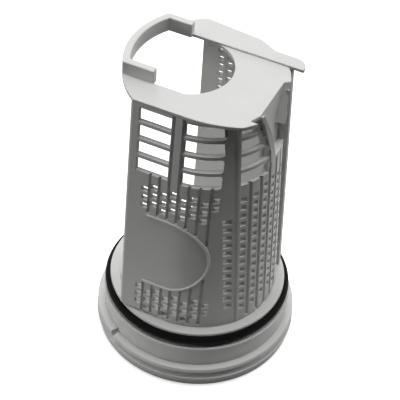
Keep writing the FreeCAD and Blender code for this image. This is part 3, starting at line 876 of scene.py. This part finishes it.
    def wall_grid(self, boxes: list[Box], grooves: list[Box]) -> WallGrid:
        """Sets the grid of the round wall from its free edge at the left round to the back wall.

        Args:
            boxes: all windows and slots.
            grooves: all grooves.

        Returns:
            Grid with a line at every edge of an opening, groove or rib.
        """
        levels = {self.wall_low, self.plate_low, self.recess_low(), self.key_bend_z}
        front = {-self.front_run, *self.bay_one, *self.bay_two, 0.0}
        side = {self.rib[0], self.rib[0] + self.rib_slope, self.rib[1] - self.rib_slope, self.rib[1],
                *self.bay_three, self.side_stop, self.back_in, self.back_in + self.wall_tuck}
        slope = self.groove_slope
        for kind, start, end, low, high in boxes:
            levels.update((low, high))
            (front if kind is Rail.FRONT else side).update((start, min(end, self.back_in)))
        for kind, middle, half, low, high in grooves:
            levels.update((low, min(low + slope, high), high))
            (front if kind is Rail.FRONT else side).update(
                (middle - half, middle - half + slope, middle + half - slope, middle + half))
        front = {value for value in front if value <= self.bay_two[1]}
        rails = [(Rail.FRONT, value) for value in spaced(front, self.least_rail, self.front_step)]
        rails += [(Rail.BLEND, share) for share in self.corner_shares]
        rails += [(Rail.SIDE, value)
                  for value in spaced(side, self.least_rail, self.side_step, self.rib[0])]
        masks = {kind: np.array([rail is kind for rail, value in rails]) for kind in Rail}
        values = np.array([value for kind, value in rails])
        return WallGrid(np.array(spaced(levels, self.least_level)), values, masks)

    def wall(self) -> None:
        """Adds the round wall: a grid of rails and levels with its holes, grooves and rib."""
        boxes, grooves = self.openings(), self.grooves()
        grid = self.wall_grid(boxes, grooves)
        depth = self.wall_depth(grid, grooves)
        radius = self.radius(grid.level)[:, None]
        outer = self.wall_face(grid, radius - depth)
        inner = self.wall_face(grid, radius - self.thick + 0 * depth)
        self.shell.add(*lattice(outer, inner, self.wall_solid(grid, boxes)))

    def wall_depth(self, grid: WallGrid, grooves: list[Box]) -> np.ndarray:
        """How deep the outer face is set in by grooves, or stands proud at the rib.

        Args:
            grid: grid of the wall.
            grooves: all grooves.

        Returns:
            (levels, rails) array, below 0 where the face stands proud.
        """
        level, values, masks = grid.level, grid.values, grid.masks
        depth = np.zeros((len(level), len(values)))
        for kind, middle, half, low, high in grooves:
            inside = masks[kind] & (np.abs(values - middle) < half - self.groove_slope / 2)
            tall = (level > low + TINY) & (level < high + TINY)
            if low <= self.wall_low:
                tall |= np.abs(level - low) < TINY
            depth[np.ix_(tall, inside)] = self.groove_deep
        inset = self.rib_slope / 2
        ribbed = masks[Rail.SIDE] & (values > self.rib[0] + inset) & (values < self.rib[1] - inset)
        depth[:, ribbed] = -self.rib_proud
        return depth

    def wall_solid(self, grid: WallGrid, boxes: list[Box]) -> np.ndarray:
        """Which cells of the wall's grid are filled.

        Args:
            grid: grid of the wall.
            boxes: all windows and slots.

        Returns:
            (levels - 1, rails - 1) mask, False where the wall is open.
        """
        level, values = grid.level, grid.values
        solid = np.ones((len(level) - 1, len(values) - 1), dtype=bool)
        height, centre = (level[:-1] + level[1:]) / 2, (values[:-1] + values[1:]) / 2
        within = {kind: mask[:-1] & mask[1:] for kind, mask in grid.masks.items()}
        for kind, start, end, low, high in boxes:
            column = within[kind] & (centre > start) & (centre < end)
            solid[np.ix_((height > low) & (height < high), column)] = False
        # The recess goes through the wall; its own walls are added by key_recess.
        for row in np.flatnonzero(height > self.recess_low()):
            left = self.key_left(height[row])
            opened = (centre > left - self.key_open_left) & (centre < self.key_high + self.key_open_right)
            closed = (centre > left - self.key_cheek) & (centre <= left - self.key_open_left)
            solid[row, within[Rail.SIDE] & opened] = False
            solid[row, within[Rail.SIDE] & closed] = True
        return solid

    def wall_face(self, grid: WallGrid, radius: np.ndarray) -> np.ndarray:
        """Places of all rails on one face of the wall.

        The azimuth of a front rail is -acos(x / r) and that of a side rail asin(y / r); blend rails
        share out the corner between the last front rail and the first side rail, which never
        crosses it.

        Args:
            grid: grid of the wall.
            radius: (levels, rails) radius of the face.

        Returns:
            (levels, rails, 3) array of places.
        """
        values, masks = grid.values, grid.masks
        azimuths = np.zeros(radius.shape)
        front, side, blend = masks[Rail.FRONT], masks[Rail.SIDE], masks[Rail.BLEND]
        azimuths[:, front] = -np.arccos(np.clip(values[front], 0, None) / radius[:, front])
        azimuths[:, side] = np.arcsin(values[side] / radius[:, side])
        first_side, last_front = np.flatnonzero(side)[0], np.flatnonzero(front)[-1]
        low_edge = azimuths[:, last_front] + math.radians(self.corner_gap)
        azimuths[:, first_side] = np.maximum(azimuths[:, first_side], low_edge)
        share = values[blend][None, :]
        azimuths[:, blend] = (azimuths[:, [last_front]] * (1 - share) + azimuths[:, [first_side]] * share)
        places = turned(radius, grid.level[:, None], azimuths)
        places[:, front, 0] = values[front]
        run = front & (values < 0)
        places[:, run, 1] = -radius[:, run]
        return places

    def window_corners(self) -> None:
        """Adds the fillets in the right corners of the middle bay."""
        bend, right, lap = self.window_corner, self.bay_two[1], self.overlap
        angle = np.linspace(0, math.pi / 2, self.window_steps)
        x = np.append(right - bend + bend * np.sin(angle), [right + lap, right + lap, right - bend])
        rise = np.append(bend - bend * np.cos(angle), [bend, -lap, -lap])
        for low, high in self.window_levels():
            for z in (low + rise, high - rise):
                faces = [np.column_stack([x, -np.sqrt((self.radius(z) - inset) ** 2 - x ** 2), z])
                         for inset in (0.0, self.thick)]
                self.shell.add(*sweep(np.stack(faces)))

    def left_edge(self) -> None:
        """Adds the rounded upright edge of the flat run."""
        left, side = -self.front_run, -self.front_run - self.edge_round
        chamfer, lapped = self.edge_chamfer, left + self.edge_lap
        rows = []
        for height in (self.wall_low, self.plate_low):
            front = -self.radius(height)
            back = front + self.thick
            outline = np.vstack([
                [(lapped, front + chamfer)],
                arc_points(self.edge_round, 270, 180, self.edge_steps, (left, front + self.edge_round)),
                [(side, back - chamfer), (side + chamfer, back), (left, back), (lapped, back - chamfer)]])
            rows.append(at_height(outline, height))
        self.shell.add(*sweep(np.stack(rows)))

    def bead(self) -> None:
        """Adds the bead round the smooth pad: a round cord that follows the drafted wall."""
        reach = self.pad_radius - self.bead_inset
        side = np.linspace(self.pad_left, self.pad_x, self.bead_steps)[:-1]
        path = np.concatenate([
            np.column_stack([side, np.full(len(side), self.pad_z + reach)]),
            arc_points(reach, 90, -90, self.bead_turn_steps, (self.pad_x, self.pad_z)),
            np.column_stack([side[::-1], np.full(len(side), self.pad_z - reach)])])
        right = np.clip(path[:, 0], 0, None)
        face = -np.sqrt(self.radius(path[:, 1]) ** 2 - right ** 2)
        line = np.column_stack([path[:, 0], face, path[:, 1]])
        out = unit(np.column_stack([right, face, 0 * face]))
        across = np.cross(unit(np.gradient(line, axis=0)), out)
        around = np.linspace(0, 2 * math.pi, self.bead_steps, endpoint=False)[None, :, None]
        self.shell.add(*sweep(line[:, None, :] + self.bead_radius * (
            np.cos(around) * out[:, None, :] + np.sin(around) * across[:, None, :])))

    def back_wall(self) -> None:
        """Adds the flat back wall with its slots and the fin at its right side."""
        boxes = self.back_slots.boxes()
        levels = {self.wall_low, self.plate_low}.union(*(box[3:] for box in boxes))
        level = np.array(spaced(levels, self.least_rail))
        columns = np.array([-self.back_run, *sorted({side for box in boxes for side in box[1:3]})])
        fin = np.interp(level, [self.wall_low, self.plate_low], [self.fin_foot, self.fin_top])
        rails = np.column_stack([np.tile(columns, (len(level), 1)), fin])
        up = np.broadcast_to(level[:, None], rails.shape)
        outer, inner = (np.stack([rails, np.full(rails.shape, y), up], axis=-1)
                        for y in (self.back_in, self.back_out))
        height = (level[:-1] + level[1:]) / 2
        # The cells of the last column reach to the fin's slanted edge and have no slots.
        centre = np.append((columns[:-1] + columns[1:]) / 2, math.inf)
        solid = np.ones((len(height), len(centre)), dtype=bool)
        for kind, start, end, low, high in boxes:
            solid[np.ix_((height > low) & (height < high), (centre > start) & (centre < end))] = False
        self.shell.add(*lattice(outer, inner, solid))

    def floor(self) -> None:
        """Adds the foot disc with its relief and the floor with the spigot's bore."""
        angle = np.linspace(-180, 180, self.floor_steps, endpoint=False)
        relieved = (angle > self.relief_start) & (angle < self.relief_end)
        reach = np.where(relieved, self.foot_radius - self.relief_deep, self.foot_radius)
        turn = np.radians(angle)
        for radius, high in ((reach, self.wall_low), (self.floor_radius, self.floor_top)):
            rows = [turned(radius, self.foot, turn), turned(radius, high, turn),
                    turned(self.bore_radius, high, turn), turned(self.bore_radius, self.foot, turn)]
            self.shell.add(np.stack(rows), [grid_faces(len(rows), self.floor_steps, True, True)])

    def ear_arc(self) -> np.ndarray:
        """Round side of the ear, from the recess to the back wall."""
        start = right_azimuth(self.ear_radius, self.key_high + self.key_wall)
        return arc_points(self.ear_radius, start, right_azimuth(self.ear_radius, self.back_in), steps=8)

    def plate_outline(self) -> np.ndarray:
        """Outline of the end plate with mouth, lip, notch and ear.

        Returns:
            (n, 2) array of x and y.
        """
        crown, out, ear = self.crown_radius, self.plate_radius, self.ear_arc()
        low = arc_points(self.lip_radius, self.lip_start, self.lip_tip, steps=10)
        bow = ((self.lip_x + low[0, 0]) / 2, -crown + (crown + low[0, 1]) * self.lip_bow)
        mouth_start, mouth_end = (right_azimuth(self.mouth_radius, y - self.mouth_centre[1])
                                  for y in (self.mouth_back, -self.mouth_front))
        return np.concatenate([
            arc_points(out, left_azimuth(out, -self.mouth_front), left_azimuth(out, -crown), steps=18),
            curve_through(np.array([(self.lip_x, -crown), bow, tuple(low[0])]), steps=24),
            low[1:],
            [(low[-1, 0] - self.notch_depth, low[-1, 1])],
            arc_points(self.notch_radius, self.notch_end, self.notch_end, steps=1),
            [(self.key_flat, self.key_low), (self.key_flat, self.key_high)],
            ear,
            [(ear[-1, 0], self.back_out), (-self.back_run, self.back_out),
             (-self.back_run, self.mouth_back)],
            arc_points(self.mouth_radius, mouth_start, mouth_end, self.round_steps, self.mouth_centre)])

    def flange_outline(self) -> np.ndarray:
        """Outline of the raised flange behind the mouth.

        Returns:
            (n, 2) array of x and y.
        """
        out, corner = self.flange_radius, self.flange_corner
        return np.concatenate([
            [(self.flange_reach, self.mouth_back)],
            arc_points(corner, 0, 90, self.edge_steps,
                       (self.flange_reach - corner, self.flange_waist - corner)),
            [(self.flange_waist_x, self.flange_waist), self.flange_slope],
            arc_points(out, left_azimuth(out, self.flange_depth), left_azimuth(out, self.mouth_back),
                       steps=20)])

    def hoop_outline(self) -> np.ndarray:
        """Outline of the hoop with its two bars.

        Returns:
            (n, 2) array of x and y.
        """
        out, inside = self.plate_radius, self.plate_radius - self.hoop_wall
        front, back = self.hoop_front, self.hoop_back
        front_in, back_in = front - self.hoop_wall, back - self.hoop_wall
        return np.concatenate([
            arc_points(out, left_azimuth(out, -front) % 360, left_azimuth(out, back), self.round_steps),
            [(-self.hoop_gap, back), (-self.hoop_gap, back_in)],
            arc_points(inside, left_azimuth(inside, back_in), left_azimuth(inside, -front_in) % 360,
                       self.round_steps),
            [(-self.hoop_gap, -front_in), (-self.hoop_gap, -front)]])

    def ear_outline(self) -> np.ndarray:
        """Outline of the ear beside the key recess.

        Returns:
            (n, 2) array of x and y.
        """
        inner = self.key_flat - self.key_wall
        return np.concatenate([
            [(inner, self.key_high), (self.key_flat, self.key_high)],
            self.ear_arc(),
            [(inner - self.ear_inset, self.back_in)]])

    def key_recess(self) -> None:
        """Adds the recess: its back plate, the channel of cheek and floor, and the ramp."""
        back_x, floor, cheek = self.key_flat - self.key_wall, self.key_floor, self.key_cheek
        top, base = self.plate_low + self.key_bite, self.key_floor - self.key_wall
        upper, lower = self.key_cheek_shares
        slant = [(self.key_left(z), z) for z in (top, *self.key_levels)]
        inner = np.array([*slant, (self.key_throat, floor), (self.key_middle, floor),
                          (self.key_high, floor), (self.key_high, top)])
        outer = np.array([
            *((y - cheek * (upper if z > self.key_bend_z else lower), z) for y, z in slant),
            (self.key_throat - cheek, base), (self.key_middle, base), (self.key_high + cheek, base),
            (self.key_high + cheek, top)])
        plate = np.stack([at_x(outer, back_x), at_x(outer, self.key_flat)])
        inner[-1, 1] = outer[-1, 1] = top - self.key_drop
        middle = (back_x + self.key_flat) / 2
        outer_land, inner_land = (np.sqrt(self.key_land ** 2 - part[:, 0] ** 2) for part in (outer, inner))
        self.shell.add(*sweep(np.stack([at_x(outer, middle), at_x(outer, outer_land),
                                        at_x(inner, inner_land), at_x(inner, middle)], axis=1)))
        self.shell.add(*sweep(plate))
        near, far = np.array(self.ramp_near), np.array(self.ramp_far)
        far_land = np.sqrt(self.ramp_land ** 2 - far[:, 0] ** 2)
        self.shell.add(*sweep(np.stack([at_x(near, self.key_flat - self.overlap), at_x(far, far_land)])))

    def build(self, material: bpy.types.Material) -> list[bpy.types.Object]:
        """Builds the basket's pieces.

        Args:
            material: finish of the basket.

        Returns:
            The pieces, which stand for the basket's node.
        """
        for add in (self.wall, self.window_corners, self.left_edge, self.bead, self.back_wall,
                    self.floor, self.key_recess):
            add()
        pieces = [self.shell.build("basket_wall", material)]
        plate = ((self.plate_outline(), self.plate_low, self.plate_top),
                 (self.ear_outline(), self.ear_low, self.plate_top - self.ear_gap))
        flange = ((self.flange_outline(), self.flange_low, self.flange_top),)
        hoop = ((self.hoop_outline(), self.hoop_low, self.hoop_top),)
        for name, prisms, width, steps in (("basket_end_plate", plate, self.plate_round, 2),
                                           ("basket_flange", flange, self.plate_round, 2),
                                           ("basket_hoop", hoop, self.hoop_round, 3)):
            shell = Shell()
            for outline, low, high in prisms:
                shell.add(*prism(outline, low, high))
            pieces.append(shell.build(name, material))
            round_edges(pieces[-1], width, steps)
        return pieces


@dataclass(frozen=True)
class MeasuredView:
    """The photograph's camera, worked out from the circles of the cap.

    Lengths are in mm and angles in degrees; the clip distances are in metres.
    """

    azimuth: float = 22.4
    elevation: float = 43.33
    roll: float = -4.20
    distance: float = 461.2
    target_height: float = 50.6
    shift: float = -0.87
    lens: float = 135.0
    sensor: float = 36.0
    clip: tuple = (0.01, 20.0)

    def build(self) -> bpy.types.Object:
        """Places the camera.

        Returns:
            The camera object.
        """
        turn, tilt, roll = (math.radians(value) for value in (self.azimuth, self.elevation, self.roll))
        right = Vector((math.cos(turn), math.sin(turn), 0))
        away = Vector((-math.sin(turn), math.cos(turn), 0))
        look = away * math.cos(tilt) - Vector((0, 0, math.sin(tilt)))
        up = away * math.sin(tilt) + Vector((0, 0, math.cos(tilt)))
        camera_right = right * math.cos(roll) - up * math.sin(roll)
        camera_up = right * math.sin(roll) + up * math.cos(roll)
        target = Vector((0, 0, self.target_height)) + right * self.shift
        data = bpy.data.cameras.new("photo_camera")
        data.sensor_width = self.sensor
        data.lens = self.lens
        data.clip_start, data.clip_end = self.clip
        camera = show("photo_camera", data)
        matrix = Matrix((camera_right, camera_up, -look)).transposed().to_4x4()
        matrix.translation = (target - look * self.distance) * MM
        camera.matrix_world = matrix
        bpy.context.scene.camera = camera
        return camera


@dataclass(frozen=True)
class AreaLamp:
    """A soft light: where it stands as azimuth and elevation in degrees, its power, and sizes in metres."""

    name: str
    azimuth: float
    elevation: float
    power: float
    distance: float = 0.9
    size: float = 0.5
    aim_height: float = 0.05

    def build(self) -> bpy.types.Object:
        """Places the lamp so that it faces the object.

        Returns:
            The lamp object.
        """
        turn, tilt = math.radians(self.azimuth), math.radians(self.elevation)
        way = Vector((math.cos(turn) * math.cos(tilt), math.sin(turn) * math.cos(tilt), math.sin(tilt)))
        data = bpy.data.lights.new(self.name, "AREA")
        data.shape = "DISK"
        data.size = self.size
        data.energy = self.power
        lamp = show(self.name, data)
        lamp.location = way * self.distance + Vector((0, 0, self.aim_height))
        lamp.rotation_mode = "QUATERNION"
        lamp.rotation_quaternion = way.to_track_quat("Z", "Y")
        return lamp


@dataclass(frozen=True)
class Studio:
    """White studio: soft lamps above, behind and at both sides, and a ground that is white where it is seen.

    For the light that bounces off it, the ground carries a painted pool of light: grey within a small
    radius and black past its edge, so it lights the lower part of the object, throws nothing back farther
    out and leaves the upper front dark. A painted contact shadow keeps it black under the cap, out to just
    past its rim. The camera, reflections and anything seen through a clear body show white all over, with
    a faint shadow on the ground. Sizes are in metres.
    """

    floor_size: float = 6.0
    # Painted pool of light for the bounce light: the ground is grey out to this radius, then fades to black.
    light_pool_radius: float = 0.09
    light_pool_fade: float = 0.01
    light_pool_grey: float = 0.62
    far_start: float = 0.2
    far_end: float = 0.6
    # Painted contact shadow: for the bounce light the ground is black under the cap, fading out just past
    # its rim.
    painted_shadow_radius: float = 0.0325
    painted_shadow_fade: float = 0.003
    glow: float = 0.6
    lamps: tuple = (
        AreaLamp("top_lamp", azimuth=0.0, elevation=88.0, power=5.2),
        AreaLamp("rear_lamp", azimuth=120.0, elevation=10.0, power=5.59),
        AreaLamp("rear_top_lamp", azimuth=120.0, elevation=40.0, power=1.37),
        AreaLamp("left_lamp", azimuth=180.0, elevation=40.0, power=1.31),
        AreaLamp("left_low_lamp", azimuth=-150.0, elevation=10.0, power=2.51),
        AreaLamp("right_lamp", azimuth=30.0, elevation=40.0, power=1.82),
        AreaLamp("right_low_lamp", azimuth=60.0, elevation=10.0, power=1.82),
    )

    def world(self) -> None:
        """Sets a world that shows white behind the object and gives no light."""
        world = bpy.data.worlds.new("studio_world")
        tree = blank_tree(world)
        output = add_node(tree, "ShaderNodeOutputWorld")
        white = add_node(tree, "ShaderNodeBackground", Color=linear("FFFFFF"))
        wire(tree, (background_rays(tree), "Value", white, "Strength"),
             (white, "Background", output, "Surface"))
        bpy.context.scene.world = world

    def paper(self) -> bpy.types.Material:
        """Builds the ground's material: near-white where it is seen; for bounce light a painted pool of
        light with a painted contact shadow.

        Returns:
            The material.
        """
        material = bpy.data.materials.new("studio_paper")
        tree = blank_tree(material)
        output = add_node(tree, "ShaderNodeOutputMaterial")
        seen = add_node(tree, "ShaderNodeBsdfDiffuse", Color=linear("F4F4F4"))
        glow = add_node(tree, "ShaderNodeEmission", Color=linear("FFFFFF"))
        bright = add_node(tree, "ShaderNodeAddShader")
        place = add_node(tree, "ShaderNodeTexCoord")
        distance = add_node(tree, "ShaderNodeVectorMath", operation="LENGTH")
        far = ramp(tree, (self.far_start, self.far_end), (self.glow, 1.0))
        # Painted pool of light: grey ground for the bounce light within the radius, black past it.
        edge = ramp(tree, (self.light_pool_radius, self.light_pool_radius + self.light_pool_fade), (self.light_pool_grey, 0.0))
        # Painted contact shadow: black ground for the bounce light under the cap, out to just past its rim.
        under = ramp(tree, (self.painted_shadow_radius, self.painted_shadow_radius + self.painted_shadow_fade), (0.0, 1.0))
        grey = add_node(tree, "ShaderNodeMath", operation="MULTIPLY")
        sheet = add_node(tree, "ShaderNodeBsdfDiffuse")
        mix = add_node(tree, "ShaderNodeMixShader")
        wire(tree,
             (place, "Object", distance, 0), (distance, "Value", far, "Value"),
             (far, "Result", glow, "Strength"), (distance, "Value", edge, "Value"),
             (distance, "Value", under, "Value"), (edge, "Result", grey, 0), (under, "Result", grey, 1),
             (grey, "Value", sheet, "Color"), (seen, "BSDF", bright, 0), (glow, "Emission", bright, 1),
             (background_rays(tree), "Value", mix, "Fac"), (sheet, "BSDF", mix, 1),
             (bright, "Shader", mix, 2), (mix, "Shader", output, "Surface"))
        return material

    def floor(self) -> bpy.types.Object:
        """Lays the ground under the object.

        Returns:
            The ground object.
        """
        half = self.floor_size / 2
        mesh = bpy.data.meshes.new("studio_floor")
        mesh.from_pydata([(-half, -half, 0), (half, -half, 0), (half, half, 0), (-half, half, 0)],
                         [], [(0, 1, 2, 3)])
        mesh.materials.append(self.paper())
        floor = show("studio_floor", mesh)
        return floor

    def build(self) -> None:
        """Builds world, ground and lamps."""
        self.world()
        self.floor()
        for lamp in self.lamps:
            lamp.build()


def main() -> None:
    """Builds the object's looks, the studio and the camera."""
    logging.basicConfig(level=logging.INFO)
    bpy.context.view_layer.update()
    scene = bpy.context.scene
    scene.view_settings.view_transform = "Standard"
    plastic, rubber = POLYPROPYLENE.build(), NITRILE.build()
    parts = (
        (ScrewCap(), plastic, Slot.PLASTIC, Body.CAP, "screw_cap"),
        (SealRing(), rubber, Slot.RUBBER, Body.CAP, "seal_ring"),
        (StrainerBasket(), plastic, Slot.PLASTIC, Body.BASKET, "strainer_basket"),
    )
    for part, material, slot, body, node in parts:
        pieces = part.build(material)
        for piece in pieces:
            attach(piece, body.value)
            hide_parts(node)
        log.info("%s: %d pieces, %d faces", node, len(pieces), sum(len(p.data.polygons) for p in pieces))
    Studio().build()
    MeasuredView().build()


if __name__ == "__main__":
    main()
